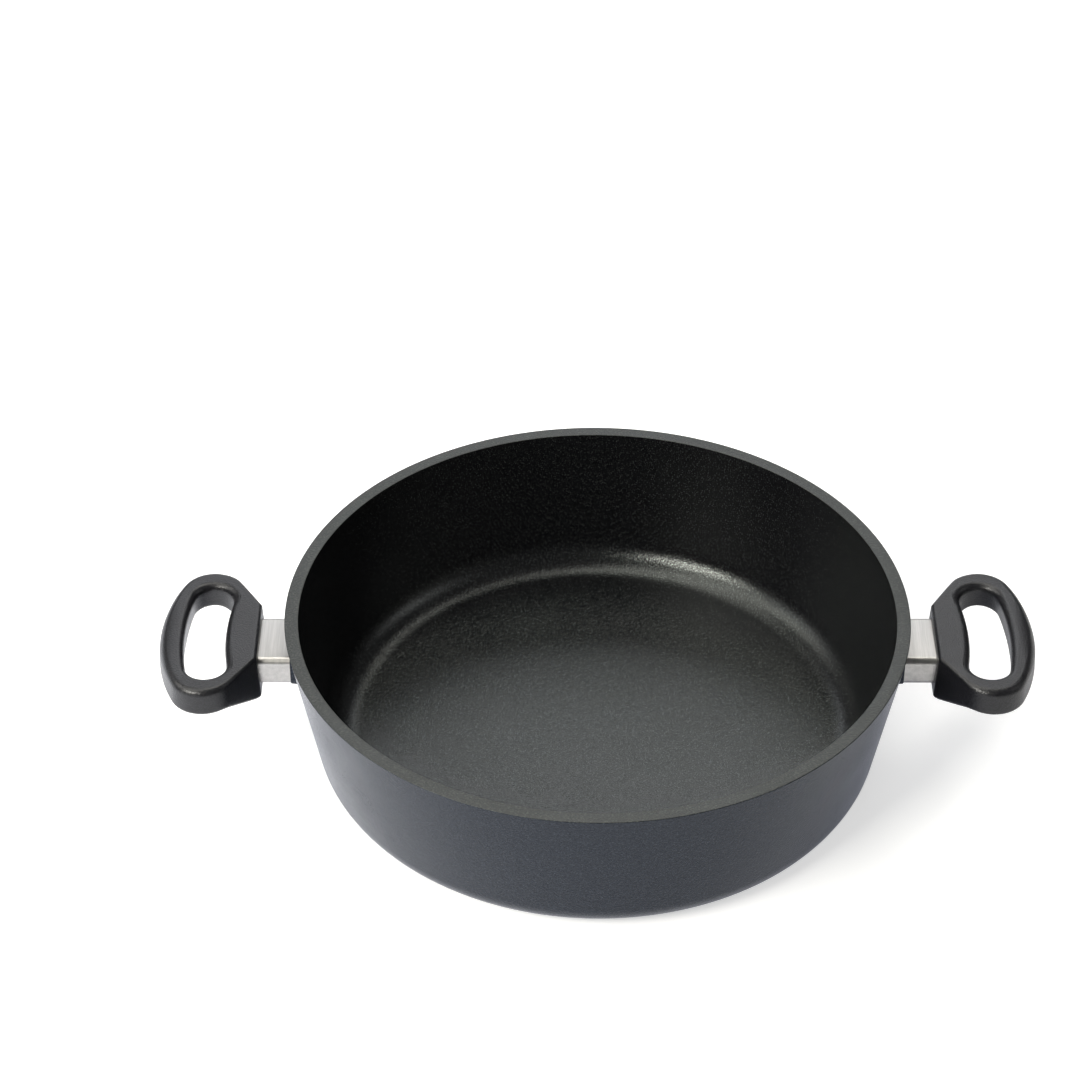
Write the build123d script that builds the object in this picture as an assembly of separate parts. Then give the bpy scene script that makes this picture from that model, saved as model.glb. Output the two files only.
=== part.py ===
from build123d import *
import math
import os

# A wide low cooking pan of thick cast aluminium with two moulded loop handles.
# Millimetres, +Z up. The origin is at the centre of the base, on the surface that the pan
# stands on. The handles lie along X. Angles are in degrees.

# Pan body, one casting
rim_inner_diameter = 280
pan_height = 80
wall_thickness = 6.5
wall_draft = 10.6
floor_thickness = 9
base_corner_radius = 18
floor_corner_radius = 16
rim_edge_chamfer = 0.6

# Machined underside
base_ring_radius = 114.2
base_ring_width = 5.4
base_ring_height = 0.5
base_ring_chamfer = 0.5
button_radius = 12
button_chamfer_width = 1.5
button_chamfer_height = 0.4

# Induction plate, set flush into the base
plate_thickness = 1.2
plate_clearance = 0.1
slot_width = 4.4
slot_land = 7.5
inner_slot_length = 21
middle_slot_length = 24
edge_slot_length = 9.5
inner_slot_start = 23
inner_slot_count = 9
middle_slot_count = 18
edge_slot_count = 18

# Lug: a short root on the wall, then a tongue inside the sleeve
lug_drop = 24.5
root_standout = 2.1
root_overlap_share = 0.6
root_margin = 0.4
root_draft = 5
tongue_clearance = 0.25
key_width = 6.8
key_length = 2.1

# Folded steel sleeve
sleeve_width = 33.2
sleeve_height = 15
sleeve_showing = 13.6
sleeve_corner_radius = 3.2
sheet_thickness = 0.8
valley_width = 12.5
valley_depth = 1.1
seam_gap = 0.5
notch_clearance = 0.3

# Moulded handle grip
grip_depth = 49.4
grip_width = 93
grip_height = 24.4
loop_thickness = 13.6
grip_end_radius_share = 0.34
grip_end_reach_share = 0.52
shoulder_width = 41
shoulder_radius = 3.2
grip_draft = 3.3
inner_bar_depth = 17.5
outer_bar_depth = 13.2
end_bar_depth = 13
hole_end_radius_share = 0.497
hole_bend = 2.15
hole_draft = 4.5
ramp_setback = 4
ramp_start = 21.5
ramp_end = 44.5
ramp_blend = 15
crown_land = 0.4
crown_radius = 18
crown_angle = 30
top_edge_radius = 1.8
hole_edge_radius = 3.5
bottom_edge_chamfer = 1.2
socket_depth = 3.5
socket_clearance = 0.25
window_setback = 7
window_width = 11.4
window_corner_radius = 1
window_roof = 5.9

# Fasteners: pan head screw, spring washer and plain washer
screw_radius = 2.5
screw_length = 19
screw_tilt = 8
thread_clearance = 0.05
shank_clearance = 0.3
head_radius = 4.6
head_height = 3.2
head_edge_chamfer = 0.9
drive_width = 1.1
drive_length = 4.6
drive_depth = 1.7
washer_radius = 5
washer_bore_clearance = 0.25
washer_thickness = 1
spring_washer_radius = 4.5
spring_washer_thickness = 1.2
spring_washer_gap = 0.9
bearing_wall = 3.2
spotface_clearance = 0.4

# How far a cut runs past the surface that it opens
overrun = 1


# Places that follow from the sizes above
rim_inner_radius = rim_inner_diameter / 2
rim_outer_radius = rim_inner_radius + wall_thickness
wall_slope = math.tan(math.radians(wall_draft))
lug_height = pan_height - lug_drop


def wall_radius(height):
    """Outer radius of the straight wall at a height."""
    return rim_outer_radius - (pan_height - height) * wall_slope


root_face = wall_radius(lug_height) + root_standout
grip_face = root_face + sleeve_showing
socket_floor = grip_face + socket_depth
plate_radius = base_ring_radius - base_ring_width
grip_bottom = lug_height - grip_height / 2
grip_top = lug_height + grip_height / 2
loop_bottom = grip_top - loop_thickness
hole_reach = grip_depth - outer_bar_depth
hole_depth = hole_reach - inner_bar_depth
hole_length = grip_width - 2 * end_bar_depth


def turned(points):
    """A solid of revolution about Z from (radius, height) points."""
    return revolve(Plane.XZ * make_face(Polyline(*points, close=True)), Axis.Z)


def radial_slot(start, length, width, angle):
    """A slot with pointed ends, centred on a line from the middle of the base."""
    half = width / 2
    end = start + length
    outline = Polyline((start, 0), (start + half, -half), (end - half, -half), (end, 0),
                       (end - half, half), (start + half, half), close=True)
    return Rot(Z=angle) * make_face(outline)


def slot_ring(start, length, count, width, turn):
    """Evenly spaced radial slots, turned by a share of their spacing."""
    step = 360 / count
    return [radial_slot(start, length, width, (i + turn) * step) for i in range(count)]


def plate_slots(margin):
    """All slots of the plate, narrowed by a margin on each side."""
    width = slot_width - 2 * margin
    shift = margin
    middle_start = inner_slot_start + inner_slot_length + slot_land
    edge_start = plate_radius - edge_slot_length
    half_turn_share = 0.5
    slots = slot_ring(inner_slot_start + shift, inner_slot_length - 2 * shift,
                      inner_slot_count, width, 0)
    slots += slot_ring(middle_start + shift, middle_slot_length - 2 * shift,
                       middle_slot_count, width, 0)
    slots += slot_ring(edge_start + shift, edge_slot_length + slot_width,
                       edge_slot_count, width, half_turn_share)
    return slots


def vessel():
    """The bowl: a drafted wall on a thick floor, round at both corners."""
    relief = base_ring_height
    outside = Polyline((0, relief), (wall_radius(relief), relief),
                       (rim_outer_radius, pan_height), (0, pan_height), close=True)
    outside = make_face(outside)
    corner = outside.vertices().group_by(Axis.Y)[0].sort_by(Axis.X)[-1]
    outside = fillet(corner, base_corner_radius)

    floor_radius = wall_radius(floor_thickness) - wall_thickness
    top = pan_height + overrun
    inside = Polyline((0, floor_thickness), (floor_radius, floor_thickness),
                      (rim_inner_radius + overrun * wall_slope, top), (0, top), close=True)
    inside = make_face(inside)
    corner = inside.vertices().group_by(Axis.Y)[0].sort_by(Axis.X)[-1]
    inside = fillet(corner, floor_corner_radius)

    bowl = revolve(Plane.XZ * outside, Axis.Z) - revolve(Plane.XZ * inside, Axis.Z)
    rim_edges = bowl.edges().filter_by(GeomType.CIRCLE).group_by(Axis.Z)[-1]
    return chamfer(rim_edges, rim_edge_chamfer)


def base_foot():
    """The machined ring that the pan stands on, and the button in the middle."""
    seat = base_ring_height + plate_thickness
    pocket = plate_radius + plate_clearance
    ring = turned([(pocket, 0), (base_ring_radius - base_ring_chamfer, 0),
                   (base_ring_radius, base_ring_height), (base_ring_radius, seat),
                   (pocket, seat)])
    button_flat = button_radius - button_chamfer_width
    button = turned([(0, 0), (button_flat, 0), (button_radius, button_chamfer_height),
                     (button_radius, seat), (0, seat)])
    return ring, button


def sleeve_section(inset):
    """The sleeve's outline in the (Y, Z) plane, drawn in by an inset all round.

    Its underside has a shallow valley, where the folded sheet's two edges meet.
    """
    half = sleeve_width / 2
    low = -sleeve_height / 2
    high = sleeve_height / 2
    valley = valley_width / 2
    line = Polyline((-half, low), (-valley, low), (0, low + valley_depth), (valley, low),
                    (half, low), (half, high), (-half, high), close=True)
    section = make_face(line)
    corners = section.vertices().group_by(Axis.X)[0] + section.vertices().group_by(Axis.X)[-1]
    section = fillet(corners, sleeve_corner_radius)
    if inset:
        section = offset(section, -inset, kind=Kind.INTERSECTION)
    return section


def across(section, start, end):
    """Extrudes a (Y, Z) section along X, with the section's zero at the lug's height."""
    plane = Plane(origin=(start, 0, lug_height), x_dir=(0, 1, 0), z_dir=(1, 0, 0))
    return extrude(plane * section, end - start)


def screw_plane(distance):
    """A plane square to the screw, at a distance outward from the socket's floor.

    The screw drops outward, so that a driver passes below the loop's outer bar.
    """
    tilt = math.radians(screw_tilt)
    axis = Vector(math.cos(tilt), 0, -math.sin(tilt))
    foot = Vector(socket_floor, 0, lug_height)
    return Plane(origin=foot + axis * distance, x_dir=(0, 1, 0), z_dir=axis)


def screw_cylinder(radius, start, end):
    """A cylinder on the screw's axis, between two distances from the socket's floor."""
    return extrude(screw_plane(start) * Circle(radius), end - start)


def lug():
    """The right-hand lug: root, tongue, key and screw bore."""
    width = sleeve_width + 2 * root_margin
    height = sleeve_height + 2 * root_margin
    root_start = root_face - root_standout - wall_thickness * root_overlap_share
    face_section = RectangleRounded(width, height, sleeve_corner_radius)
    plane = Plane(origin=(root_face, 0, lug_height), x_dir=(0, -1, 0), z_dir=(-1, 0, 0))
    root = extrude(plane * face_section, root_face - root_start, taper=-root_draft)

    inset = sheet_thickness + tongue_clearance
    tongue = across(sleeve_section(inset), root_face - overrun, socket_floor)

    key_height = sheet_thickness + tongue_clearance + valley_depth
    key = Pos(root_face + key_length / 2, 0, lug_height - sleeve_height / 2 + key_height / 2)
    key *= Box(key_length, key_width, key_height)

    bore_end = head_seat() - screw_length - screw_radius
    bore = screw_cylinder(screw_radius + thread_clearance, bore_end, overrun)
    return root + tongue + key - bore


def head_seat():
    """Distance from the socket's floor to the underside of the screw's head."""
    return bearing_wall + washer_thickness + spring_washer_thickness


def pan_body():
    """Bowl, base ring, button, the metal that fills the plate's slots, and two lugs.

    The bowl is turned so that its surfaces' seam lies clear of the lugs.
    """
    seam_angle = 45
    body = Rot(Z=seam_angle) * vessel()
    seat = Cylinder(plate_radius + plate_clearance, plate_thickness - base_ring_height + overrun,
                    align=(Align.CENTER, Align.CENTER, Align.MAX))
    body -= Pos(0, 0, plate_thickness) * seat
    ring, button = base_foot()
    fills = [extrude(slot, plate_thickness + overrun) for slot in plate_slots(plate_clearance)]
    reach = Cylinder(plate_radius + plate_clearance + overrun, plate_thickness + 2 * overrun,
                     align=(Align.CENTER, Align.CENTER, Align.MIN))
    fills = [fill & reach for fill in fills]
    right = lug()
    left = Rot(Z=180) * right
    return body + [ring, button, *fills, right, left]


def induction_plate():
    """A slotted steel disc, flush with the base ring."""
    disc = Cylinder(plate_radius, plate_thickness, align=(Align.CENTER, Align.CENTER, Align.MIN))
    cuts = [extrude(slot, plate_thickness + 2 * overrun) for slot in plate_slots(0)]
    cuts = [Pos(0, 0, -overrun) * cut for cut in cuts]
    hole = Cylinder(button_radius + plate_clearance, plate_thickness + 2 * overrun,
                    align=(Align.CENTER, Align.CENTER, Align.MIN))
    return disc - [*cuts, Pos(0, 0, -overrun) * hole]


def handle_sleeve():
    """One sheet folded round the lug, with its seam and a notch for the key below."""
    end = socket_floor - socket_clearance
    sleeve = across(sleeve_section(0), root_face, end)
    sleeve -= across(sleeve_section(sheet_thickness), root_face - overrun, end + overrun)
    low = lug_height - sleeve_height / 2
    cut_height = valley_depth + sheet_thickness + overrun
    seam = Box(end - root_face + 2 * overrun, seam_gap, cut_height,
               align=(Align.MIN, Align.CENTER, Align.MIN))
    notch = Box(key_length + notch_clearance + overrun, key_width + 2 * notch_clearance, cut_height,
                align=(Align.MIN, Align.CENTER, Align.MIN))
    place = Pos(root_face - overrun, 0, low - overrun / 2)
    return sleeve - place * seam - place * notch


def tangent_arc_radius(reach, centre_reach, centre_offset, end_radius):
    """Radius of the arc through (reach, 0) that closes on a pair of end circles.

    Positive where the end circles lie inside the arc, negative where they lie outside it.
    """
    step = centre_reach - reach
    return (step ** 2 + centre_offset ** 2 - end_radius ** 2) / (-2 * (step + end_radius))


def loop_arcs(reach, centre_reach, centre_offset, end_radius):
    """The arc across one side of a loop, and where it meets the upper end circle."""
    radius = tangent_arc_radius(reach, centre_reach, centre_offset, end_radius)
    middle = reach - radius
    angle = math.atan2(centre_offset, centre_reach - middle)
    meet = Vector(middle + radius * math.cos(angle), radius * math.sin(angle))
    return meet


def grip_outline(growth):
    """The grip's outline seen from above, from its flat face outward, grown by a margin."""
    base_radius = grip_depth * grip_end_radius_share
    end_reach = grip_depth * grip_end_reach_share
    end_radius = base_radius + growth
    offset_y = grip_width / 2 - base_radius
    reach = grip_depth + growth
    meet = loop_arcs(reach, end_reach, offset_y, end_radius)

    corner = Vector(-growth, shoulder_width / 2 + growth)
    centre = Vector(end_reach, offset_y)
    away = corner - centre
    spread = math.degrees(math.acos(end_radius / away.length))
    touch = centre + away.normalized().rotate(Axis.Z, -spread) * end_radius
    top = centre + Vector(0, end_radius)

    outer = ThreePointArc((meet.X, -meet.Y), (reach, 0), (meet.X, meet.Y))
    upper_end = ThreePointArc(meet, top, touch)
    flank = Line(touch, corner)
    half = [upper_end, flank]
    other = [mirror(edge, Plane.XZ) for edge in half]
    face_line = Line(corner, (corner.X, -corner.Y))
    outline = make_face([outer, *half, face_line, *other])
    shoulders = outline.vertices().group_by(Axis.X)[0]
    return fillet(shoulders, shoulder_radius)


def hole_outline(growth):
    """The finger hole's outline: four arcs, each running into the next, grown by a margin."""
    base_radius = hole_depth * hole_end_radius_share
    end_reach = inner_bar_depth + hole_depth / 2 - hole_bend
    end_radius = base_radius + growth
    offset_y = hole_length / 2 - base_radius
    outer_reach = hole_reach + growth
    inner_reach = inner_bar_depth - growth
    outer = loop_arcs(outer_reach, end_reach, offset_y, end_radius)

    step = end_reach - inner_reach
    inner_radius = (step ** 2 + offset_y ** 2 - end_radius ** 2) / (2 * (end_radius - step))
    middle = inner_reach - inner_radius
    angle = math.atan2(offset_y, end_reach - middle)
    inner = Vector(middle + inner_radius * math.cos(angle), inner_radius * math.sin(angle))

    top = Vector(end_reach, offset_y + end_radius)
    edges = [ThreePointArc((outer.X, -outer.Y), (outer_reach, 0), (outer.X, outer.Y)),
             ThreePointArc(outer, top, inner),
             ThreePointArc(inner, (inner_reach, 0), (inner.X, -inner.Y)),
             mirror(ThreePointArc(outer, top, inner), Plane.XZ)]
    return make_face(edges)


def drafted(outline, draft, level, low, high):
    """Extrudes an outline upward with draft. It has its stated size at the level."""
    growth = (level - low) * math.tan(math.radians(draft))
    place = Pos(grip_face, 0, low)
    return extrude(place * outline(growth), high - low, taper=draft)


def underside_cutter():
    """Everything below the grip: flat under the inner block, then a ramp up to the loop."""
    low = grip_bottom - 2 * overrun
    reach = grip_depth + grip_width
    line = Polyline((0, low), (0, grip_bottom), (ramp_start, grip_bottom),
                    (ramp_end, loop_bottom), (reach, loop_bottom), (reach, low), close=True)
    face = make_face(line)
    corners = [vertex for vertex in face.vertices()
               if vertex.X in (ramp_start, ramp_end)]
    face = fillet(corners, ramp_blend)
    return Pos(grip_face - ramp_setback) * revolve(Plane.XZ * face, Axis.Z)


def crown_cutter():
    """Everything above the grip: flat, then falling away over the outer bar."""
    high = grip_top + 2 * overrun
    start = grip_face + hole_reach + hole_edge_radius + crown_land
    arc = JernArc((start, grip_top), (1, 0), crown_radius, -crown_angle)
    rest = PolarLine(arc @ 1, grip_depth, -crown_angle)
    drop = rest @ 1
    back = Polyline(drop, (drop.X, high), (grip_face - grip_depth, high),
                    (grip_face - grip_depth, grip_top), (start, grip_top))
    face = Plane.XZ * make_face([arc, rest, *back.edges()])
    return extrude(face, grip_width, both=True)


def edges_on_sides(body, upward):
    """Edges where the steep side faces meet the faces that look up, or down."""
    slant_limit = 0.2
    steep = [face for face in body.faces() if abs(face.normal_at().Z) < slant_limit]
    side_edges = [edge for face in steep for edge in face.edges()]
    level = [face for face in body.faces() if abs(face.normal_at().Z) >= slant_limit]
    level = [face for face in level if (face.normal_at().Z > 0) == upward]
    return [edge for face in level for edge in face.edges()
            if any(edge.is_same(other) for other in side_edges)]


def screw_window():
    """The opening under the inner block that bares the screw's head.

    It runs out through the finger side of the block, below a solid roof.
    """
    start = grip_face + window_setback
    end = grip_face + inner_bar_depth + overrun
    roof = lug_height + window_roof
    low = grip_bottom - overrun
    length = end - start + window_corner_radius
    outline = Pos(start + length / 2, 0, low) * RectangleRounded(length, window_width,
                                                                 window_corner_radius)
    window = extrude(outline, roof - low)
    spotface = screw_cylinder(washer_radius + spotface_clearance, bearing_wall,
                              head_seat() + head_height)
    hole = screw_cylinder(screw_radius + shank_clearance, -overrun, bearing_wall + overrun)
    return [window, spotface, hole]


def handle_grip():
    """The right-hand grip, moulded in one piece."""
    low = grip_bottom - overrun
    high = grip_top + overrun
    block = drafted(grip_outline, grip_draft, grip_bottom, low, high)
    block = block - underside_cutter() - crown_cutter()
    block = fillet(edges_on_sides(block, True), top_edge_radius)
    block = chamfer(edges_on_sides(block, False), bottom_edge_chamfer)

    hole = drafted(hole_outline, hole_draft, grip_top, low - overrun, high + overrun)
    grip = block - hole
    rim = [edge for edge in new_edges(block, hole, combined=grip)
           if edge.center().Z > grip_top - top_edge_radius]
    grip = fillet(rim, hole_edge_radius)
    rim = [edge for edge in new_edges(block, hole, combined=grip)
           if edge.center().Z < loop_bottom + bottom_edge_chamfer]
    grip = chamfer(rim, bottom_edge_chamfer)

    socket = across(sleeve_section(-socket_clearance), grip_face - overrun, socket_floor)
    return grip - [socket, *screw_window()]


def handle_screw():
    """A pan head screw with a cross recess. Its thread is left plain."""
    seat = head_seat()
    shank = screw_cylinder(screw_radius, seat - screw_length, seat)
    head = screw_cylinder(head_radius, seat, seat + head_height)
    rim = head.edges().sort_by(SortBy.LENGTH)[-2:].sort_by(Axis.X)[-1]
    head = chamfer(rim, head_edge_chamfer)
    bottom = screw_plane(seat + head_height - drive_depth)
    cross = [extrude(bottom * Rectangle(*size), drive_depth + overrun)
             for size in ((drive_width, drive_length), (drive_length, drive_width))]
    return shank + head - cross


def ring_on_screw(radius, start, thickness):
    """A flat ring round the screw."""
    bore = screw_cylinder(screw_radius + washer_bore_clearance, start - overrun,
                          start + thickness + overrun)
    return screw_cylinder(radius, start, start + thickness) - bore


def washer():
    return ring_on_screw(washer_radius, bearing_wall, washer_thickness)


def spring_washer():
    """A split ring, shown pressed flat under the tightened head."""
    start = bearing_wall + washer_thickness
    ring = ring_on_screw(spring_washer_radius, start, spring_washer_thickness)
    slit = screw_plane(start - overrun) * Pos(spring_washer_radius / 2) * Rectangle(
        spring_washer_radius + overrun, spring_washer_gap)
    return ring - extrude(slit, spring_washer_thickness + 2 * overrun)


def save(name, solid):
    export_step(solid, os.path.join("parts", f"{name}.step"))


os.makedirs("parts", exist_ok=True)
save("pan_body", pan_body())
save("induction_plate", induction_plate())

handle_parts = {
    "handle_sleeve": handle_sleeve(),
    "handle_grip": handle_grip(),
    "handle_screw": handle_screw(),
    "washer": washer(),
    "spring_washer": spring_washer(),
}
for side, turn in (("right", 0), ("left", 180)):
    for name, solid in handle_parts.items():
        save(f"{name}_{side}", Rot(Z=turn) * solid)
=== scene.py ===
import math

import bpy
import numpy as np
from mathutils import Matrix, Vector


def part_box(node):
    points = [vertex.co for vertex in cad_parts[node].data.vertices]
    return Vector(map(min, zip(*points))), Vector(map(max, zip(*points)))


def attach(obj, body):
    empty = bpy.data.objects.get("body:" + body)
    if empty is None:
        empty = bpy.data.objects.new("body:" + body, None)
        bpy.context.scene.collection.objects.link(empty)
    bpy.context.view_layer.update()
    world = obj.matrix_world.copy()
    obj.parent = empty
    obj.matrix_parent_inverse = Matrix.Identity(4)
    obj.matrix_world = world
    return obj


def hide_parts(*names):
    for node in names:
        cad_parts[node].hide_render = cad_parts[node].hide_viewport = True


# A low round cooking pan with two moulded loop handles, dressed for a studio picture.
# The frame gives every place that it can. Other sizes are named here in millimetres.

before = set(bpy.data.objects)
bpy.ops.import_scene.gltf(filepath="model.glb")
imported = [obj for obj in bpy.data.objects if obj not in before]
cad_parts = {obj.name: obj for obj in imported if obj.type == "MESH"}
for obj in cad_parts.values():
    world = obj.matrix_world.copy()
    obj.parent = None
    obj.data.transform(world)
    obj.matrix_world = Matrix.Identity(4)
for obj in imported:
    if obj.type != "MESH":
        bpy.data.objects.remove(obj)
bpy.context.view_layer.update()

MM = 0.001

# Pan wall and floor
wall_thickness = 6.5
wall_draft = math.radians(10.6)
floor_thickness = 9
base_corner_radius = 18
floor_corner_radius = 16
rim_edge_radius = 0.35

# Underside
base_ring_radius = 114.2
base_ring_height = 0.5
base_ring_chamfer = 0.5
base_edge_radius = 0.25
plate_clearance = 0.1
button_radius = 12
button_chamfer_width = 1.5
button_chamfer_height = 0.4
slot_width = 4.4
slot_land = 7.5
inner_slot_start = 23
inner_slot_length = 21
middle_slot_length = 24
edge_slot_length = 9.5
inner_slot_count = 9
middle_slot_count = 18
edge_slot_count = 18

# Lug and sleeve
root_standout = 2.1
root_margin = 0.4
root_draft = math.radians(5)
sleeve_corner_radius = 3.2
least_corner_radius = 0.5
sheet_thickness = 0.8
tongue_clearance = 0.25
valley_width = 12.5
valley_depth = 1.1
valley_edge_radius = 1
seam_gap = 0.5
key_width = 6.8
key_length = 2.1
notch_clearance = 0.3

# Moulded grip
grip_depth = 49.4
grip_width = 93
grip_end_radius_share = 0.34
grip_end_reach_share = 0.52
shoulder_width = 41
shoulder_radius = 3.2
grip_draft = math.radians(3.3)
loop_thickness = 13.6
inner_bar_depth = 17.5
outer_bar_depth = 13.2
end_bar_depth = 13
hole_end_radius_share = 0.497
hole_bend = 2.15
hole_draft = math.radians(4.5)
ramp_setback = 4
ramp_start = 21.5
ramp_end = 44.5
ramp_blend = 15
crown_land = 0.4
crown_radius = 18
crown_angle = math.radians(30)
block_edge_radius = 1.8
loop_edge_radius = 3.2
loop_edge_start = 7
loop_edge_run = 14
hole_edge_radius = 3.5
bottom_edge_radius = 2
hole_bottom_radius = 2
socket_clearance = 0.25
socket_depth = 3.5
window_setback = 7
window_width = 11.4
window_corner_radius = 1
window_roof = 5.9
window_overrun = 6
screw_tilt = math.radians(8)
screw_hole_radius = 2.8
spotface_radius = 5.4
spotface_length = 5.4
bearing_wall = 3.2

# How far a cutter or a buried end runs past the surface it meets
overshoot = 1

# Points along curves
turn_steps = 360
corner_steps = 8
pan_corner_steps = 12
sleeve_corner_steps = 12
window_corner_steps = 5
screw_steps = 64
ramp_steps = 16
outer_bar_steps = 25
end_steps = 40
flank_steps = 10
shoulder_steps = 8
face_steps = 12
hole_steps = 400
edge_steps = 8
bottom_edge_steps = 6
hole_bottom_steps = 5
side_steps = 6
underside_steps = 14
top_steps = 12
settling_rounds = 4

# Edges that turn by more than this, in degrees, stay crisp
sharp_edge = 35
pan_sharp_edge = 50
fill_sharp_edge = 25
sleeve_sharp_edge = 30
grip_sharp_edge = 40

# Textures: scales per metre, and the part of a texture's range that a ramp spans
grain_scale = 1250
patch_scale = 35
fleck_scale = 950
inside_fleck_scale = 1300
moulded_scale = 1400
moulded_patch_scale = 60
grain_span = (0.36, 0.66)
fleck_span = (0.2, 0.5)
inside_fleck_span = (0.3, 0.38)
picked_span = (0.35, 0.7)
streak_span = (0.38, 0.62)
ring_span = (0.3, 0.7)
gloss_span = (0.7, 1.3)
streak_along = 60
streak_across = 2200
band_along = 20
band_across = 420

# How far a texture moves a surface's roughness, and the relief that it gives in millimetres
coating_gloss_swing = 0.06
moulded_gloss_swing = 0.05
steel_gloss_swing = 0.06
turned_gloss_fall = 0.05
turned_gloss_rise = 0.07
moulded_relief = 0.16
metal_relief = 0.05
steel_relief_share = 0.2
turned_relief_share = 0.1

# Spacing of the turned rings
fine_turning = 0.4
coarse_turning = 0.5

# Places from the frame, in millimetres
pan_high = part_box("pan_body")[1] / MM
plate_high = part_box("induction_plate")[1] / MM
sleeve_low, sleeve_high = (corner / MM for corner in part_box("handle_sleeve_right"))
grip_low, grip_high = (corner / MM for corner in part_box("handle_grip_right"))

pan_height = pan_high.z
rim_outer_radius = pan_high.y
rim_inner_radius = rim_outer_radius - wall_thickness
wall_slope = math.tan(wall_draft)
plate_radius = plate_high.x
plate_thickness = plate_high.z
root_face = sleeve_low.x
lug_height = (sleeve_low.z + sleeve_high.z) / 2
sleeve_width = sleeve_high.y - sleeve_low.y
sleeve_height = sleeve_high.z - sleeve_low.z
grip_bottom = grip_low.z
grip_top = grip_high.z
grip_face = grip_low.x
socket_floor = grip_face + socket_depth
loop_bottom = grip_top - loop_thickness

# Photograph's camera: the pixel sizes are those of its square frame
photo_width = 1066
focal_pixels = 3259
sensor_width = 36
camera_elevation = math.radians(37.64)
camera_azimuth = math.radians(0.45)
camera_roll = math.radians(-0.27)
camera_shift_right = 30.36
camera_shift_up = -99.51
camera_distance = 1575.1


def rounded(corners, count=corner_steps, closed=True):
    """A path through (x, y, radius) corners, with an arc at each corner that has a radius."""
    path = []
    last = len(corners) - 1
    for i, (x, y, radius) in enumerate(corners):
        point = Vector((x, y))
        if radius == 0 or (not closed and i in (0, last)):
            path.append((x, y))
            continue
        before = (Vector(corners[i - 1][:2]) - point).normalized()
        after = (Vector(corners[(i + 1) % len(corners)][:2]) - point).normalized()
        half = before.angle(after) / 2
        centre = point + (before + after).normalized() * (radius / math.sin(half))
        first = point + before * (radius / math.tan(half)) - centre
        turn = first.angle_signed(point + after * (radius / math.tan(half)) - centre)
        for step in range(count + 1):
            spoke = first.copy()
            spoke.rotate(Matrix.Rotation(-turn * step / count, 2))
            path.append(tuple(centre + spoke))
    return path


def piece(name, vertices, faces, sharp_angle=sharp_edge):
    """A smooth-shaded mesh object from millimetre points, with its sharper edges kept crisp."""
    mesh = bpy.data.meshes.new(name)
    mesh.from_pydata([Vector(v) * MM for v in vertices], [], faces)
    mesh.validate()
    obj = bpy.data.objects.new(name, mesh)
    bpy.context.scene.collection.objects.link(obj)
    return smoothed(obj, sharp_angle)


def smoothed(obj, sharp_angle):
    """Shades an object smooth, with its sharper edges kept crisp."""
    obj.data.polygons.foreach_set("use_smooth", [True] * len(obj.data.polygons))
    obj.data.set_sharp_from_angle(angle=math.radians(sharp_angle))
    return obj


def baked(obj):
    """Turns an object's modifiers into a plain mesh object of the same name."""
    graph = bpy.context.evaluated_depsgraph_get()
    mesh = bpy.data.meshes.new_from_object(obj.evaluated_get(graph))
    name = obj.name
    place = obj.matrix_world.copy()
    bpy.data.objects.remove(obj)
    fresh = bpy.data.objects.new(name, mesh)
    bpy.context.scene.collection.objects.link(fresh)
    mesh.transform(place)
    return fresh


def cut(obj, cutters):
    """Subtracts the cutters from an object and removes them."""
    for cutter in cutters:
        change = obj.modifiers.new(cutter.name, "BOOLEAN")
        change.operation = "DIFFERENCE"
        change.solver = "EXACT"
        change.object = cutter
    bpy.context.view_layer.update()
    fresh = baked(obj)
    for cutter in cutters:
        bpy.data.objects.remove(cutter)
    return fresh


def lathe(name, profile, count=turn_steps, sharp_angle=sharp_edge):
    """Turns an open (radius, height) profile, which starts and ends on the axis, about Z."""
    vertices = [(0, 0, profile[0][1])]
    rings = []
    for radius, height in profile[1:-1]:
        rings.append(len(vertices))
        for i in range(count):
            angle = 2 * math.pi * i / count
            vertices.append((radius * math.cos(angle), radius * math.sin(angle), height))
    vertices.append((0, 0, profile[-1][1]))
    last = len(vertices) - 1
    faces = []
    for i in range(count):
        j = (i + 1) % count
        faces.append((0, rings[0] + i, rings[0] + j))
        for low, high in zip(rings, rings[1:]):
            faces.append((low + i, high + i, high + j, low + j))
        faces.append((rings[-1] + i, last, rings[-1] + j))
    return piece(name, vertices, faces, sharp_angle)


def loft(name, sections, closed=False, sharp_angle=sharp_edge):
    """Skins closed sections of equal point counts. Ends are capped unless the row is closed."""
    size = len(sections[0])
    vertices = [point for section in sections for point in section]
    faces = []
    spans = len(sections) if closed else len(sections) - 1
    for span in range(spans):
        low = span * size
        high = ((span + 1) % len(sections)) * size
        for i in range(size):
            j = (i + 1) % size
            faces.append((low + i, low + j, high + j, high + i))
    if not closed:
        faces.append(tuple(range(size))[::-1])
        faces.append(tuple(range((len(sections) - 1) * size, len(sections) * size)))
    return piece(name, vertices, faces, sharp_angle)


def across(name, outline, stations, sharp_angle=sharp_edge):
    """Skins a (Y, Z) outline about the lug's axis. Each station is (X, scale in Y, in Z)."""
    sections = [[(x, y * in_y, lug_height + z * in_z) for y, z in outline]
                for x, in_y, in_z in stations]
    return loft(name, sections, sharp_angle=sharp_angle)


def turned_copy(obj, name):
    """A copy of a right-hand piece for the left-hand side."""
    mesh = obj.data.copy()
    mesh.name = name
    mesh.transform(Matrix.Rotation(math.pi, 4, "Z"))
    copy = bpy.data.objects.new(name, mesh)
    bpy.context.scene.collection.objects.link(copy)
    return copy


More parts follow.
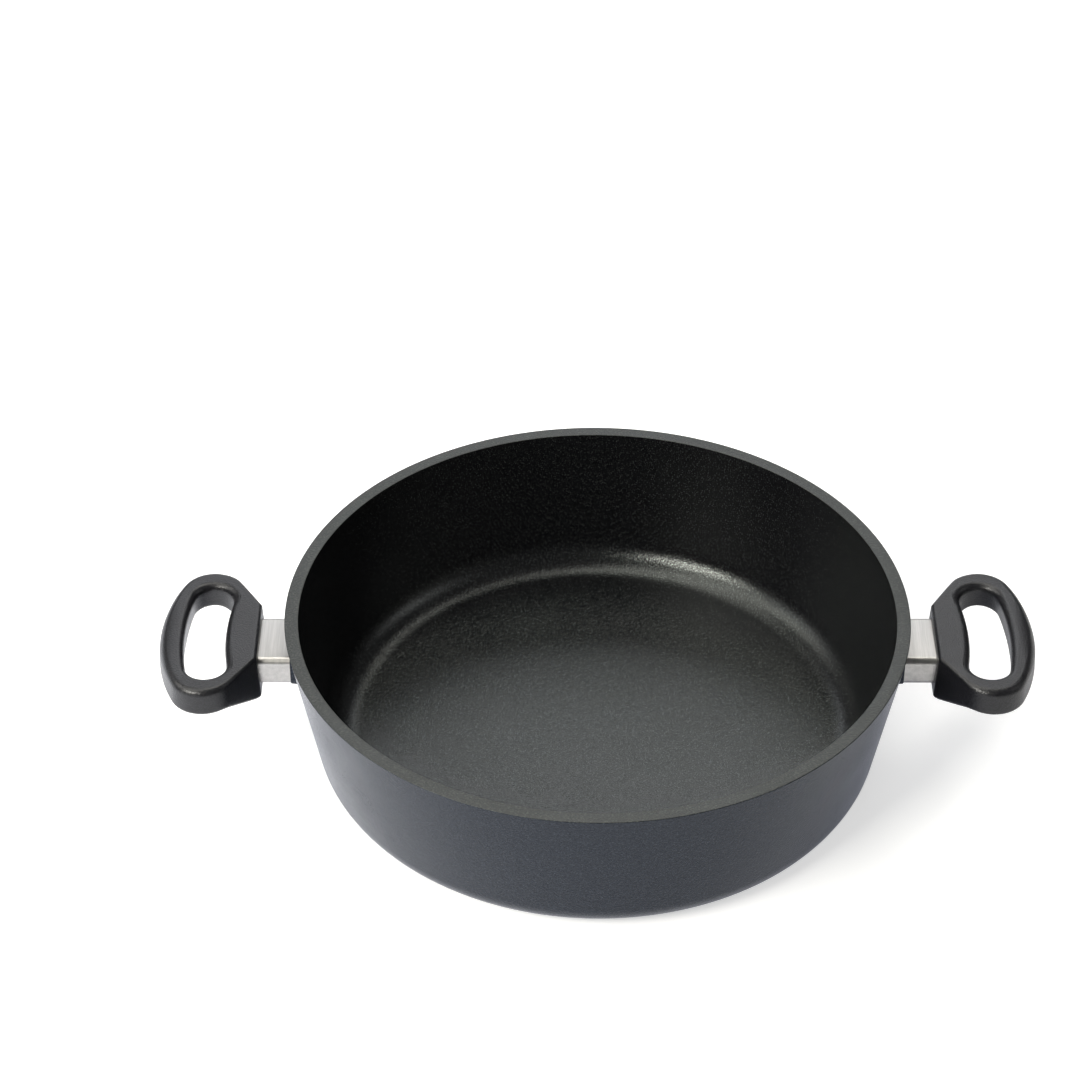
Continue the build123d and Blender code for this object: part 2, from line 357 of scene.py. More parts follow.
def wall_radius(height):
    """Outer radius of the straight wall at a height."""
    return rim_outer_radius - (pan_height - height) * wall_slope


def pan_profile():
    """The body's section, from the middle of the floor round the rim to the middle below."""
    relief = base_ring_height
    floor_radius = wall_radius(floor_thickness) - wall_thickness
    pocket = plate_radius + plate_clearance
    edge = base_edge_radius
    corners = [
        (0, floor_thickness, 0),
        (floor_radius, floor_thickness, floor_corner_radius),
        (rim_inner_radius, pan_height, rim_edge_radius),
        (rim_outer_radius, pan_height, rim_edge_radius),
        (wall_radius(relief), relief, base_corner_radius),
        (base_ring_radius, relief, edge / 2),
        (base_ring_radius - base_ring_chamfer, 0, edge),
        (pocket, 0, edge / 2),
        (pocket, plate_thickness, 0),
        (button_radius, plate_thickness, 0),
        (button_radius, button_chamfer_height, edge / 2),
        (button_radius - button_chamfer_width, 0, edge),
        (0, 0, 0),
    ]
    return rounded(corners, pan_corner_steps, closed=False)


def radial_slot(start, length, width, angle):
    """A slot with pointed ends, on a line from the middle of the base."""
    half = width / 2
    end = start + length
    points = [(start, 0), (start + half, -half), (end - half, -half), (end, 0),
              (end - half, half), (start + half, half)]
    turn = Matrix.Rotation(-angle, 2)
    return [tuple(turn @ Vector(point)) for point in points]


def slot_outlines(margin):
    """All the plate's slots, narrowed by a margin on each side."""
    width = slot_width - 2 * margin
    middle_start = inner_slot_start + inner_slot_length + slot_land
    edge_start = plate_radius - edge_slot_length
    edge_length = edge_slot_length + slot_width
    rings = ((inner_slot_start, inner_slot_length, inner_slot_count, 0),
             (middle_start, middle_slot_length, middle_slot_count, 0),
             (edge_start, edge_length, edge_slot_count, 1 / 2))
    slots = []
    for start, length, count, turn in rings:
        for i in range(count):
            angle = 2 * math.pi * (i + turn) / count
            slots.append(radial_slot(start + margin, length - 2 * margin, width, angle))
    return slots


def make_slot_fills():
    """The casting's metal that comes up through the plate's slots, level with the plate."""
    reach = plate_radius + plate_clearance
    vertices = []
    faces = []
    for outline in slot_outlines(plate_clearance):
        first = len(vertices)
        inside = [min(1, reach / max(math.hypot(x, y), 1)) for x, y in outline]
        outline = [(x * k, y * k) for (x, y), k in zip(outline, inside)]
        size = len(outline)
        for height in (0, plate_thickness + base_ring_height):
            vertices += [(x, y, height) for x, y in outline]
        faces.append(tuple(range(first, first + size))[::-1])
        faces.append(tuple(range(first + size, first + 2 * size)))
        for i in range(size):
            j = (i + 1) % size
            faces.append((first + i, first + j, first + size + j, first + size + i))
    return piece("slot_fills", vertices, faces, fill_sharp_edge)


def sleeve_outline(inset, count=corner_steps):
    """The sleeve's closed (Y, Z) outline about the lug's axis, drawn in by an inset."""
    half = sleeve_width / 2 - inset
    low = -sleeve_height / 2 + inset
    high = sleeve_height / 2 - inset
    valley = valley_width / 2
    radius = max(sleeve_corner_radius - inset, least_corner_radius)
    corners = [(-half, low, radius), (-valley, low, valley_edge_radius),
               (0, low + valley_depth, 0), (valley, low, valley_edge_radius),
               (half, low, radius), (half, high, radius), (-half, high, radius)]
    return rounded(corners, count)


def make_sleeve():
    """One sheet folded round the tongue: its outer skin, then its inner skin back to the seam."""
    seam = seam_gap / 2
    rings = []
    for inset in (0, sheet_thickness):
        ring = sleeve_outline(inset, sleeve_corner_steps)
        middle = ring.index(min(ring, key=lambda p: abs(p[0]) + (p[1] > 0) * sleeve_width))
        ring = ring[middle + 1:] + ring[:middle]
        low = -sleeve_height / 2 + inset + valley_depth
        rise = seam * valley_depth / (valley_width / 2)
        rings.append([(seam, low - rise)] + ring + [(-seam, low - rise)])
    outline = rings[0] + rings[1][::-1]
    end = socket_floor - socket_clearance
    stations = [(root_face, 1, 1), (end, 1, 1)]
    sleeve = across("handle_sleeve", outline, stations, sleeve_sharp_edge)
    low = lug_height - sleeve_height / 2 - overshoot
    high = low + valley_depth + sheet_thickness + 2 * overshoot
    half = key_width / 2 + notch_clearance
    reach = root_face + key_length + notch_clearance
    notch = box_cutter("notch", (root_face - overshoot, -half, low), (reach, half, high))
    return smoothed(cut(sleeve, [notch]), sleeve_sharp_edge)


def box_cutter(name, low, high, corner_radius=0.0):
    """A block between two corners, with its upright edges rounded."""
    corners = [(low[0], low[1], corner_radius), (high[0], low[1], corner_radius),
               (high[0], high[1], corner_radius), (low[0], high[1], corner_radius)]
    outline = rounded(corners, window_corner_steps)
    sections = [[(x, y, z) for x, y in outline] for z in (low[2], high[2])]
    return loft(name, sections)


def screw_cutter(name, radius, start, end, count=screw_steps):
    """A cylinder on the screw's axis, between two distances from the socket's floor."""
    along = Vector((math.cos(screw_tilt), 0, -math.sin(screw_tilt)))
    side = Vector((0, 1, 0))
    up = along.cross(side)
    foot = Vector((socket_floor, 0, lug_height))
    sections = []
    for distance in (start, end):
        ring = []
        for i in range(count):
            angle = 2 * math.pi * i / count
            spoke = side * math.cos(angle) + up * math.sin(angle)
            ring.append(foot + along * distance + spoke * radius)
        sections.append(ring)
    return loft(name, sections)


def make_lug():
    """Root and tongue, sunk into the wall behind the sleeve."""
    width = sleeve_width / 2 + root_margin
    height = sleeve_height / 2 + root_margin
    corners = [(-width, -height, sleeve_corner_radius), (width, -height, sleeve_corner_radius),
               (width, height, sleeve_corner_radius), (-width, height, sleeve_corner_radius)]
    outline = rounded(corners)
    start = root_face - root_standout - wall_thickness / 2
    spread = (root_face - start) * math.tan(root_draft)
    edge = base_edge_radius
    stations = [(start, 1 + spread / width, 1 + spread / height),
                (root_face - edge, 1, 1),
                (root_face, 1 - edge / width, 1 - edge / height)]
    root = across("lug", outline, stations)
    inset = sheet_thickness + tongue_clearance
    stations = [(root_face - overshoot, 1, 1), (socket_floor, 1, 1)]
    tongue = across("tongue", sleeve_outline(inset), stations)
    return root, tongue


def heading(angle):
    """The unit vector at an angle from X, in the grip's plan."""
    return Vector((math.cos(angle), math.sin(angle)))


def tangent_arc(reach, end_reach, end_offset, end_radius):
    """Centre and radius of the arc through (reach, 0) that runs into a pair of end circles."""
    step = end_reach - reach
    radius = (step ** 2 + end_offset ** 2 - end_radius ** 2) / (-2 * (step + end_radius))
    return reach - radius, radius


def grip_half_outline():
    """Points and outward normals of the grip's plan, from its outer bar round to its face."""
    radius = grip_depth * grip_end_radius_share
    centre = Vector((grip_depth * grip_end_reach_share, grip_width / 2 - radius))
    middle, outer_radius = tangent_arc(grip_depth, centre.x, centre.y, radius)
    meet = math.atan2(centre.y, centre.x - middle)
    corner = Vector((0, shoulder_width / 2))
    away = corner - centre
    spread = math.acos(radius / away.length)
    touch = math.atan2(away.y, away.x) % (2 * math.pi) - spread

    rows = []
    for i in range(outer_bar_steps):
        normal = heading(meet * i / outer_bar_steps)
        rows.append((Vector((middle, 0)) + normal * outer_radius, normal))
    for i in range(end_steps + 1):
        normal = heading(meet + (touch - meet) * i / end_steps)
        rows.append((centre + normal * radius, normal))
    flank_normal = heading(touch)
    flank_start = centre + flank_normal * radius
    turn = math.pi - touch
    shoulder_length = shoulder_radius * math.tan(turn / 2)
    flank_end = corner + (flank_start - corner).normalized() * shoulder_length
    for i in range(1, flank_steps + 1):
        rows.append((flank_start.lerp(flank_end, i / flank_steps), flank_normal))
    shoulder_centre = flank_end - flank_normal * shoulder_radius
    for i in range(1, shoulder_steps + 1):
        normal = heading(touch + turn * i / shoulder_steps)
        rows.append((shoulder_centre + normal * shoulder_radius, normal))
    face_end = rows[-1][0]
    for i in range(1, face_steps + 1):
        rows.append((face_end.lerp(Vector((0, 0)), i / face_steps), Vector((-1, 0))))
    return rows


def hole_half_outline(count=hole_steps):
    """Points and normals, pointing into the material, of the finger hole's plan."""
    reach = grip_depth - outer_bar_depth
    depth = reach - inner_bar_depth
    radius = depth * hole_end_radius_share
    centre = Vector((inner_bar_depth + depth / 2 - hole_bend,
                     grip_width / 2 - end_bar_depth - radius))
    middle, outer_radius = tangent_arc(reach, centre.x, centre.y, radius)
    meet = math.atan2(centre.y, centre.x - middle)
    step = centre.x - inner_bar_depth
    inner_radius = (step ** 2 + centre.y ** 2 - radius ** 2) / (2 * (radius - step))
    inner_middle = inner_bar_depth - inner_radius
    inner_meet = math.atan2(centre.y, centre.x - inner_middle)
    rows = []
    for i in range(count):
        normal = heading(meet * i / count)
        rows.append((Vector((middle, 0)) + normal * outer_radius, normal))
    for i in range(count):
        normal = heading(meet + (math.pi + inner_meet - meet) * i / count)
        rows.append((centre + normal * radius, normal))
    for i in range(count + 1):
        normal = -heading(inner_meet * (1 - i / count))
        rows.append((Vector((inner_middle, 0)) - normal * inner_radius, normal))
    return rows


def paired_outlines():
    """Whole outlines of grip and hole, with the points of a pair on one ray from the hole."""
    eye = Vector((grip_depth * grip_end_reach_share, 0))
    outer = grip_half_outline()
    hole = hole_half_outline()

    def bearing(point):
        away = point - eye
        return math.atan2(away.y, away.x)

    angles = [bearing(point) for point, normal in hole]
    table = np.array([(*point, *normal) for point, normal in hole])
    pairs = []
    for point, normal in outer:
        angle = bearing(point)
        row = [np.interp(angle, angles, table[:, k]) for k in range(4)]
        pairs.append((point, normal, Vector(row[:2]), Vector(row[2:]).normalized()))
    flip = Matrix(((1, 0), (0, -1)))
    mirrored = [tuple(flip @ v for v in pair) for pair in pairs[1:-1]]
    return pairs + mirrored[::-1]


def crown(reach):
    """Height of the grip's top at a distance from its face: flat, then falling away."""
    start = grip_depth - outer_bar_depth + hole_edge_radius + crown_land
    run = crown_radius * math.sin(crown_angle)
    past = reach - start
    if past <= 0:
        return grip_top
    if past <= run:
        return grip_top - crown_radius + math.sqrt(crown_radius ** 2 - past ** 2)
    arc_drop = crown_radius * (1 - math.cos(crown_angle))
    return grip_top - arc_drop - (past - run) * math.tan(crown_angle)


def ramp_profile():
    """Radii and heights of the grip's underside, a surface turned about an upright axis."""
    far = grip_depth + grip_width
    corners = [(0, grip_bottom, 0), (ramp_start, grip_bottom, ramp_blend),
               (ramp_end, loop_bottom, ramp_blend), (far, loop_bottom, 0)]
    path = rounded(corners, ramp_steps, closed=False)
    return [p[0] for p in path], [p[1] for p in path]


ramp_radii, ramp_heights = ramp_profile()


def underside(point):
    """Height of the grip's underside at a point of its plan."""
    return float(np.interp(math.hypot(point.x + ramp_setback, point.y), ramp_radii, ramp_heights))


def grip_section(pair):
    """The closed section of the loop at one pair of outline points, as (X, Y, Z) points."""
    outer, outer_normal, hole, hole_normal = pair

    def outside(z, inset):
        return outer - outer_normal * ((z - grip_bottom) * math.tan(grip_draft) + inset)

    def inside(z, inset):
        return hole + hole_normal * ((grip_top - z) * math.tan(hole_draft) + inset)

    def settled(place, surface, inset, lift):
        z = (grip_bottom + grip_top) / 2
        for _ in range(settling_rounds):
            z = surface(place(z, inset)) + lift
        return place(z, inset), z

    def rounding(place, surface, radius, sign, count):
        rows = []
        for i in range(count + 1):
            angle = math.pi / 2 * i / count
            inset = radius * (1 - math.sin(angle))
            lift = radius * (1 - math.cos(angle)) * sign
            rows.append(settled(place, surface, inset, lift))
        return rows

    def top(point):
        return crown(point.x)

    def wall(place, start, end, count):
        heights = [start + (end - start) * i / count for i in range(1, count)]
        return [(place(z, 0), z) for z in heights]

    def face(surface, start, end, count):
        points = [start.lerp(end, i / count) for i in range(1, count)]
        return [(point, surface(point)) for point in points]

    softened = min(max((outer.x - loop_edge_start) / loop_edge_run, 0), 1)
    softened = softened ** 2 * (3 - 2 * softened)
    top_radius = block_edge_radius + (loop_edge_radius - block_edge_radius) * softened
    outer_top = rounding(outside, top, top_radius, -1, edge_steps)
    outer_low = rounding(outside, underside, bottom_edge_radius, 1, bottom_edge_steps)[::-1]
    hole_low = rounding(inside, underside, hole_bottom_radius, 1, hole_bottom_steps)
    hole_top = rounding(inside, top, hole_edge_radius, -1, edge_steps)[::-1]
    rows = outer_top
    rows += wall(outside, outer_top[-1][1], outer_low[0][1], side_steps)
    rows += outer_low
    rows += face(underside, outer_low[-1][0], hole_low[0][0], underside_steps)
    rows += hole_low
    rows += wall(inside, hole_low[-1][1], hole_top[0][1], side_steps)
    rows += hole_top
    rows += face(top, hole_top[-1][0], outer_top[0][0], top_steps)
    return [(grip_face + point.x, point.y, z) for point, z in rows]


def make_grip():
    """The moulded loop, then its socket for the sleeve and its screw window."""
    sections = [grip_section(pair) for pair in paired_outlines()]
    grip = loft("handle_grip", sections, closed=True, sharp_angle=grip_sharp_edge)
    stations = [(grip_face - 2 * overshoot, 1, 1), (socket_floor, 1, 1)]
    socket = across("socket", sleeve_outline(-socket_clearance), stations)
    half = window_width / 2
    start = grip_face + window_setback
    end = grip_face + inner_bar_depth + window_overrun
    window = box_cutter("window", (start, -half, grip_bottom - 2 * overshoot),
                        (end, half, lug_height + window_roof), window_corner_radius)
    spotface = screw_cutter("spotface", spotface_radius, bearing_wall,
                            bearing_wall + spotface_length)
    hole = screw_cutter("screw_hole", screw_hole_radius, -overshoot, bearing_wall + overshoot)
    return smoothed(cut(grip, [socket, window, spotface, hole]), grip_sharp_edge)


def tree(name):
    """A new node material, its node maker, its links and its shader."""
    material = bpy.data.materials.new(name)
    material.use_nodes = True
    nodes = material.node_tree.nodes
    links = material.node_tree.links
    shader = nodes["Principled BSDF"]

    def node(kind, inputs=None, **settings):
        new = nodes.new(kind)
        for key, value in settings.items():
            setattr(new, key, value)
        for key, value in (inputs or {}).items():
            if isinstance(value, bpy.types.NodeSocket):
                links.new(value, new.inputs[key])
            else:
                new.inputs[key].default_value = value
        return new

    return material, node, links, shader


def ramp(node, factor, span, low_colour, high_colour):
    """A colour ramp from one colour to another across a span of the factor."""
    new = node("ShaderNodeValToRGB", {"Fac": factor})
    for element, position, colour in zip(new.color_ramp.elements, span, (low_colour, high_colour)):
        element.position = position
        element.color = (*colour, 1)
    return new.outputs["Color"]


def grey(level):
    """A colour with no tint."""
    return (level, level, level)


def uneven_gloss(node, links, shader, grain, broad, roughness, swing):
    """Lets a fine and a broad noise move a shader's roughness by up to a swing."""
    both = node("ShaderNodeMath", {0: grain.outputs["Fac"], 1: broad.outputs["Fac"]},
                operation="ADD")
    gloss = node("ShaderNodeMapRange", {"Value": both.outputs[0], "From Min": gloss_span[0],
                                        "From Max": gloss_span[1], "To Min": roughness - swing,
                                        "To Max": roughness + swing})
    links.new(gloss.outputs["Result"], shader.inputs["Roughness"])


def coating(name, dark, light, fleck, roughness, tint, gloss_level, relief,
            flecks_per_metre=fleck_scale, fleck_edge=fleck_span, metal_flecks=False):
    """A dark baked-on finish: fine grain, small pale flecks and a slightly uneven gloss.

    Metal flecks have no colour of their own out of the light, so they fade on a dark wall.
    """
    material, node, links, shader = tree(name)
    place = node("ShaderNodeTexCoord").outputs["Object"]
    grain = node("ShaderNodeTexNoise", {"Vector": place, "Scale": grain_scale, "Detail": 1,
                                        "Roughness": 0.7})
    broad = node("ShaderNodeTexNoise", {"Vector": place, "Scale": patch_scale, "Detail": 3})
    colour = ramp(node, grain.outputs["Fac"], grain_span, dark, light)
    cells = node("ShaderNodeTexVoronoi", {"Vector": place, "Scale": flecks_per_metre,
                                          "Randomness": 1})
    spot = ramp(node, cells.outputs["Distance"], fleck_edge, grey(1), grey(0))
    picked = ramp(node, cells.outputs["Color"], picked_span, grey(0), grey(1))
    mask = node("ShaderNodeMath", {0: spot, 1: picked}, operation="MULTIPLY")
    mixed = node("ShaderNodeMix", {"Factor": mask.outputs[0]}, data_type="RGBA")
    colour_a, colour_b = (socket for socket in mixed.inputs if socket.type == "RGBA")
    links.new(colour, colour_a)
    colour_b.default_value = (*fleck, 1)
    blended = next(socket for socket in mixed.outputs if socket.type == "RGBA")
    links.new(blended, shader.inputs["Base Color"])
    if metal_flecks:
        links.new(mask.outputs[0], shader.inputs["Metallic"])
    uneven_gloss(node, links, shader, grain, broad, roughness, coating_gloss_swing)
    bump = node("ShaderNodeBump", {"Strength": 1, "Distance": relief * MM,
                                   "Height": grain.outputs["Fac"]})
    links.new(bump.outputs["Normal"], shader.inputs["Normal"])
    shader.inputs["Specular Tint"].default_value = (*tint, 1)
    shader.inputs["Specular IOR Level"].default_value = gloss_level
    return material


def moulded(name, dark, light, roughness):
    """Satin black phenolic with a fine moulded grain."""
    material, node, links, shader = tree(name)
    place = node("ShaderNodeTexCoord").outputs["Object"]
    fine = node("ShaderNodeTexNoise", {"Vector": place, "Scale": moulded_scale, "Detail": 1,
                                       "Roughness": 0.6})
    broad = node("ShaderNodeTexNoise", {"Vector": place, "Scale": moulded_patch_scale,
                                        "Detail": 3})
    colour = ramp(node, fine.outputs["Fac"], grain_span, dark, light)
    links.new(colour, shader.inputs["Base Color"])
    uneven_gloss(node, links, shader, fine, broad, roughness, moulded_gloss_swing)
    bump = node("ShaderNodeBump", {"Strength": 1, "Distance": moulded_relief * MM,
                                   "Height": fine.outputs["Fac"]})
    links.new(bump.outputs["Normal"], shader.inputs["Normal"])
    return material


def brushed_steel(name, along, dark, light, roughness):
    """Sheet steel brushed along one axis: long fine streaks in colour, gloss and relief."""
    material, node, links, shader = tree(name)
    place = node("ShaderNodeTexCoord").outputs["Object"]
    scale = tuple(streak_along if axis == along else streak_across for axis in "XYZ")
    stretch = node("ShaderNodeMapping", {"Vector": place, "Scale": scale})
    streaks = node("ShaderNodeTexNoise", {"Vector": stretch.outputs["Vector"], "Scale": 1,
                                          "Detail": 3, "Roughness": 0.6})
    bands_scale = tuple(band_along if axis == along else band_across for axis in "XYZ")
    wide = node("ShaderNodeMapping", {"Vector": place, "Scale": bands_scale})
    bands = node("ShaderNodeTexNoise", {"Vector": wide.outputs["Vector"], "Scale": 1, "Detail": 2})
    both = node("ShaderNodeMath", {0: streaks.outputs["Fac"], 1: bands.outputs["Fac"]},
                operation="ADD")
    half = node("ShaderNodeMath", {0: both.outputs[0], 1: 0.5}, operation="MULTIPLY")
    colour = ramp(node, half.outputs[0], streak_span, dark, light)
    links.new(colour, shader.inputs["Base Color"])
    gloss = node("ShaderNodeMapRange", {"Value": streaks.outputs["Fac"],
                                        "To Min": roughness - steel_gloss_swing,
                                        "To Max": roughness + steel_gloss_swing})
    links.new(gloss.outputs["Result"], shader.inputs["Roughness"])
    bump = node("ShaderNodeBump", {"Strength": steel_relief_share,
                                   "Distance": metal_relief * MM,
                                   "Height": streaks.outputs["Fac"]})
    links.new(bump.outputs["Normal"], shader.inputs["Normal"])
    shader.inputs["Metallic"].default_value = 1
    return material


def turned_metal(name, dark, light, roughness, anisotropy, pitch):
    """Metal turned on a lathe: fine rings about Z and a stretched gloss across them."""
    material, node, links, shader = tree(name)
    place = node("ShaderNodeTexCoord").outputs["Object"]
    flat = node("ShaderNodeVectorMath", {0: place, 1: (1, 1, 0)}, operation="MULTIPLY")
    radius = node("ShaderNodeVectorMath", {0: flat.outputs["Vector"]}, operation="LENGTH")
    rings = node("ShaderNodeTexNoise", {"W": radius.outputs["Value"], "Scale": 1 / (pitch * MM),
                                        "Detail": 3, "Roughness": 0.7}, noise_dimensions="1D")
    colour = ramp(node, rings.outputs["Fac"], ring_span, dark, light)
    links.new(colour, shader.inputs["Base Color"])
    gloss = node("ShaderNodeMapRange", {"Value": rings.outputs["Fac"],
                                        "To Min": roughness - turned_gloss_fall,
                                        "To Max": roughness + turned_gloss_rise})
    links.new(gloss.outputs["Result"], shader.inputs["Roughness"])
    bump = node("ShaderNodeBump", {"Strength": turned_relief_share,
                                   "Distance": metal_relief * MM,
                                   "Height": rings.outputs["Fac"]})
    links.new(bump.outputs["Normal"], shader.inputs["Normal"])
    tangent = node("ShaderNodeTangent", direction_type="RADIAL", axis="Z")
    links.new(tangent.outputs["Tangent"], shader.inputs["Tangent"])
    shader.inputs["Anisotropic"].default_value = anisotropy
    shader.inputs["Metallic"].default_value = 1
    return material


def backdrop_material(name, shade, to_camera, gloss_left, gloss_right, reach, gloss_colour):
    """Studio paper: lit by the lamps, and lifted towards white where a ray sees it.

    In reflections it glows, tinted and brighter on the left: a painted reflection of a large
    window.
    """
    material, node, links, shader = tree(name)
    material.node_tree.nodes.remove(shader)
    output = material.node_tree.nodes["Material Output"]
    place = node("ShaderNodeTexCoord").outputs["Object"]
    # Painted reflection: the floor's glow in reflections falls from left to right, in place of a
    # window's light.
    sideways = node("ShaderNodeSeparateXYZ", {"Vector": place}).outputs["X"]
    side = node("ShaderNodeMapRange", {"Value": sideways, "From Min": -reach, "From Max": reach,
                                       "To Min": gloss_left, "To Max": gloss_right})
    path = node("ShaderNodeLightPath")
    mirrored = node("ShaderNodeMath", {0: path.outputs["Is Glossy Ray"],
                                       1: path.outputs["Is Transmission Ray"]},
                    operation="MAXIMUM")
    in_gloss = node("ShaderNodeMath", {0: mirrored.outputs[0], 1: side.outputs["Result"]},
                    operation="MULTIPLY")
    in_view = node("ShaderNodeMath", {0: path.outputs["Is Camera Ray"], 1: to_camera},
                   operation="MULTIPLY")
    paper = node("ShaderNodeBsdfDiffuse", {"Color": (*grey(shade), 1)})
    plain = node("ShaderNodeEmission", {"Strength": in_view.outputs[0]})
    tinted = node("ShaderNodeEmission", {"Color": (*gloss_colour, 1),
                                         "Strength": in_gloss.outputs[0]})
    glow = node("ShaderNodeAddShader", {0: plain.outputs[0], 1: tinted.outputs[0]})
    both = node("ShaderNodeAddShader", {0: paper.outputs[0], 1: glow.outputs[0]})
    links.new(both.outputs[0], output.inputs["Surface"])
    return material


def dress(obj, material, slot, *replaced):
    """Gives a piece its material and its place on the body, and hides the CAD nodes it stands for.
    """
    obj.data.materials.clear()
    obj.data.materials.append(material)
    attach(obj, "root")
    if replaced:
        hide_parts(*replaced)


def restyle(node_name, material):
    """Gives a CAD node, whose shape is right, a better material."""
    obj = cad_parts[node_name]
    obj.data.materials.clear()
    obj.data.materials.append(material)


def paint_pan(obj, inside, outside, rim, bare, margin=1):
    """Assigns the body's four finishes by where a face lies on its section."""
    for material in (inside, outside, rim, bare):
        obj.data.materials.append(material)
    in_inside, in_outside, in_rim, in_bare = range(4)
    for face in obj.data.polygons:
        centre = face.center / MM
        radius = math.hypot(centre.x, centre.y)
        middle_of_wall = wall_radius(centre.z) - wall_thickness / 2
        if centre.z < base_ring_height and radius < base_ring_radius:
            face.material_index = in_bare
        elif radius < plate_radius + margin and centre.z < floor_thickness / 2:
            face.material_index = in_bare
        elif centre.z > pan_height - rim_edge_radius / 2:
            face.material_index = in_rim
        elif radius < middle_of_wall and centre.z > floor_thickness - margin:
            face.material_index = in_inside
        else:
            face.material_index = in_outside


def make_camera():
    """A camera fitted to the photograph, aimed past the pan's middle by its two shifts."""
    data = bpy.data.cameras.new("camera")
    data.sensor_width = sensor_width
    data.lens = focal_pixels / photo_width * sensor_width
    camera = bpy.data.objects.new("camera", data)
    bpy.context.scene.collection.objects.link(camera)
    azimuth, elevation, roll = camera_azimuth, camera_elevation, camera_roll
    flat = math.cos(elevation)
    back = Vector((math.sin(azimuth) * flat, -math.cos(azimuth) * flat, math.sin(elevation)))
    level = Vector((math.cos(azimuth), math.sin(azimuth), 0))
    upright = back.cross(level)
    right = level * math.cos(roll) + upright * math.sin(roll)
    up = upright * math.cos(roll) - level * math.sin(roll)
    place = back * camera_distance - right * camera_shift_right - up * camera_shift_up
    turn = Matrix((right, up, back)).transposed()
    camera.matrix_world = Matrix.Translation(place * MM) @ turn.to_4x4()
    bpy.context.scene.camera = camera


def soft_box(name, place, width, height, radiance, colour=grey(1)):
    """A rectangular area lamp that faces the origin, of a given brightness per unit of area."""
    data = bpy.data.lights.new(name, "AREA")
    data.shape = "RECTANGLE"
    data.size = width
    data.size_y = height
    data.energy = radiance * math.pi * width * height
    data.color = colour
    lamp = bpy.data.objects.new(name, data)
    bpy.context.scene.collection.objects.link(lamp)
    lamp.location = place
    lamp.rotation_euler = (-Vector(place)).to_track_quat("-Z", "Y").to_euler()


def make_world(lighting, reflected):
    """A white backdrop to the camera, and a dimmer room for lighting and for reflections."""
    world = bpy.data.worlds.new("studio")
    bpy.context.scene.world = world
    world.use_nodes = True
    nodes = world.node_tree.nodes
    links = world.node_tree.links
    path = nodes.new("ShaderNodeLightPath")
    glossy = nodes.new("ShaderNodeMapRange")
    links.new(path.outputs["Is Glossy Ray"], glossy.inputs["Value"])
    glossy.inputs["To Min"].default_value = lighting
    glossy.inputs["To Max"].default_value = reflected
    seen = nodes.new("ShaderNodeMapRange")
    links.new(path.outputs["Is Camera Ray"], seen.inputs["Value"])
    links.new(glossy.outputs["Result"], seen.inputs["To Min"])
    seen.inputs["To Max"].default_value = 1
    background = nodes["Background"]
    background.inputs["Color"].default_value = (1, 1, 1, 1)
    links.new(seen.outputs["Result"], background.inputs["Strength"])


# The pan
pan = lathe("pan_body_shell", pan_profile(), sharp_angle=pan_sharp_edge)
inside_coating = coating("coating_inside", dark=(0.001, 0.001, 0.0015),
                         light=(0.007, 0.0074, 0.0083), fleck=(0.078, 0.084, 0.08),
                         roughness=0.2, tint=(0.95, 1, 0.965), gloss_level=0.495, relief=0.17,
                         flecks_per_metre=inside_fleck_scale, fleck_edge=inside_fleck_span,
                         metal_flecks=True)
outside_coating = coating("coating_outside", dark=(0.0073, 0.009, 0.0135),
                          light=(0.0175, 0.021, 0.029), fleck=(0.031, 0.0365, 0.048),
                          roughness=0.22, tint=(0.71, 0.82, 1), gloss_level=0.265, relief=0.17)
rim_coating = coating("coating_rim", dark=(0.006, 0.0065, 0.006), light=(0.026, 0.027, 0.0255),
                      fleck=(0.046, 0.05, 0.043), roughness=0.35, tint=(0.95, 1, 0.98),
                      gloss_level=0.49, relief=0.22)
bare_metal = turned_metal("bare_aluminium", dark=grey(0.74), light=grey(0.88), roughness=0.32,
                          anisotropy=0.4, pitch=fine_turning)
paint_pan(pan, inside_coating, outside_coating, rim_coating, bare_metal)
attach(pan, "root")
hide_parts("pan_body")

lug, tongue = make_lug()
for right, material in ((lug, outside_coating), (tongue, bare_metal)):
    left = turned_copy(right, right.name + "_left")
    right.name += "_right"
    dress(right, material, "coated_casting")
    dress(left, material, "coated_casting")

fill_metal = turned_metal("matte_fill", dark=(0.62, 0.62, 0.63), light=(0.72, 0.72, 0.73),
                          roughness=0.55, anisotropy=0, pitch=fine_turning)
dress(make_slot_fills(), fill_metal, "coated_casting")

spun_steel = turned_metal("spun_steel", dark=(0.5, 0.49, 0.48), light=(0.62, 0.61, 0.6),
                          roughness=0.3, anisotropy=0.75, pitch=coarse_turning)
restyle("induction_plate", spun_steel)

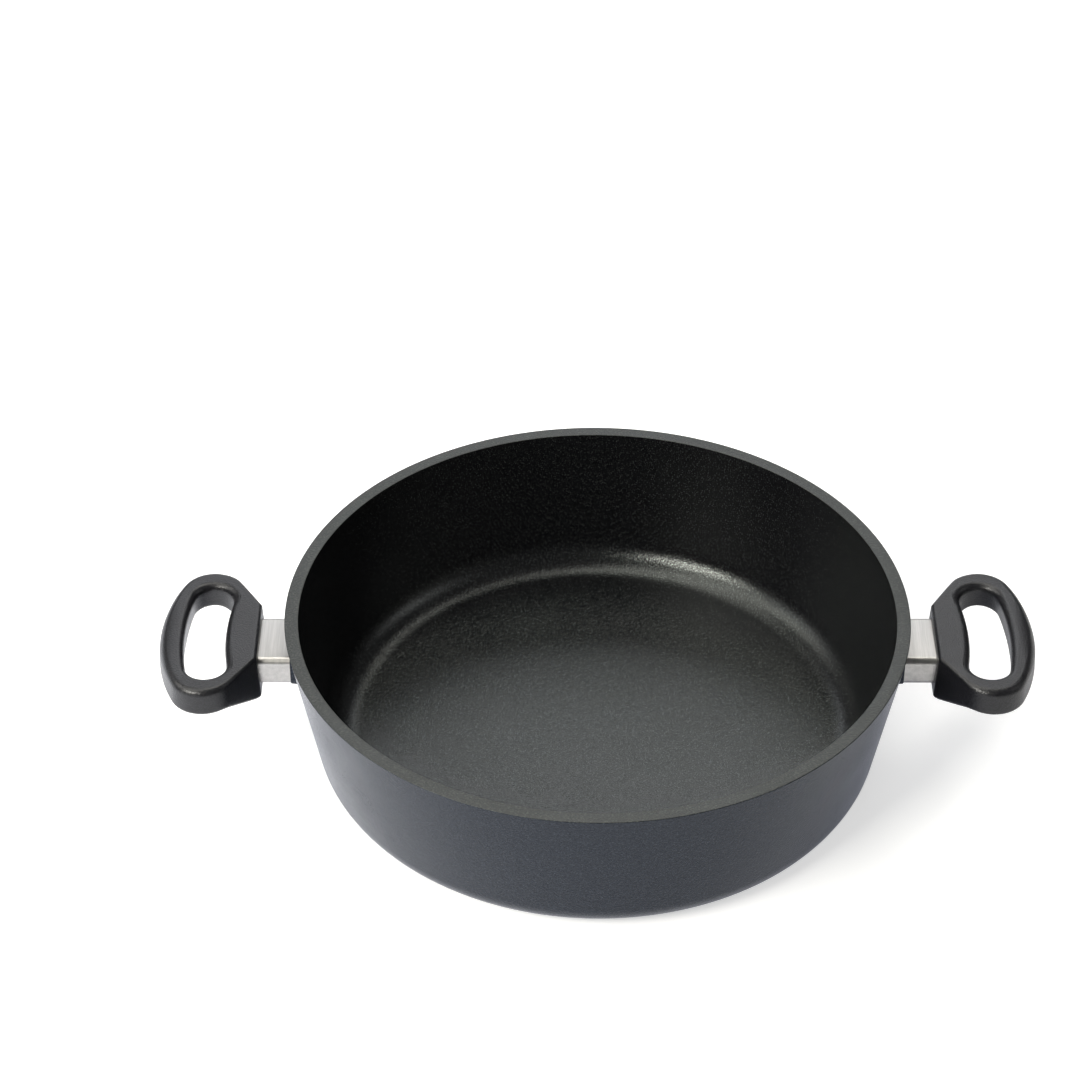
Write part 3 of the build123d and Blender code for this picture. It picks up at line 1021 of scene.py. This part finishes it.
# The handles
steel = brushed_steel("brushed_sleeve", along="Y", dark=(0.385, 0.374, 0.357),
                      light=(0.485, 0.472, 0.453), roughness=0.37)
plastic = moulded("moulded_grip", dark=(0.003, 0.003, 0.004), light=(0.012, 0.012, 0.0145),
                  roughness=0.33)
sleeve = make_sleeve()
grip = make_grip()
for right, material, slot in ((sleeve, steel, "brushed_steel_sheet"),
                              (grip, plastic, "moulded_plastic")):
    base = right.name
    left = turned_copy(right, base + "_left_shell")
    right.name = base + "_right_shell"
    dress(right, material, slot, base + "_right")
    dress(left, material, slot, base + "_left")

fastener = brushed_steel("bright_fastener", along="X", dark=grey(0.6), light=grey(0.72),
                         roughness=0.25)
for part in ("handle_screw", "washer", "spring_washer"):
    for side in ("right", "left"):
        restyle(f"{part}_{side}", fastener)

# Studio: sizes and places in metres, but the gap under the pan in millimetres
floor_size = 12
floor_gap = 0.02
cool_white = (0.9, 0.95, 1.13)
warm_white = (1, 0.98, 0.92)
paper = backdrop_material("studio_floor", shade=0.75, to_camera=0.58, gloss_left=0.72,
                          gloss_right=0.12, reach=0.35, gloss_colour=cool_white)
bpy.ops.mesh.primitive_plane_add(size=floor_size, location=(0, 0, -floor_gap * MM))
floor = bpy.context.object
floor.name = "floor"
floor.data.materials.append(paper)

make_camera()
make_world(lighting=0.2, reflected=0.12)
soft_box("overhead", (-0.4, 0.35, 1.9), width=2.8, height=0.7, radiance=4.3, colour=warm_white)
soft_box("overhead_left", (-1.45, 0.42, 1.55), width=1, height=0.6, radiance=3.8,
         colour=warm_white)
soft_box("rear", (-0.12, 2.55, 1.65), width=2.2, height=1.15, radiance=2.2,
         colour=(0.97, 0.99, 1.04))
soft_box("front_left", (-1.25, -1.2, 1.4), width=0.95, height=0.5, radiance=28,
         colour=(1, 0.98, 0.91))
soft_box("left", (-2.2, 0.3, 1.3), width=1, height=1, radiance=2)
soft_box("right", (2.2, -0.1, 1.5), width=1, height=0.8, radiance=1.6)

view = bpy.context.scene.view_settings
view.view_transform = "Standard"
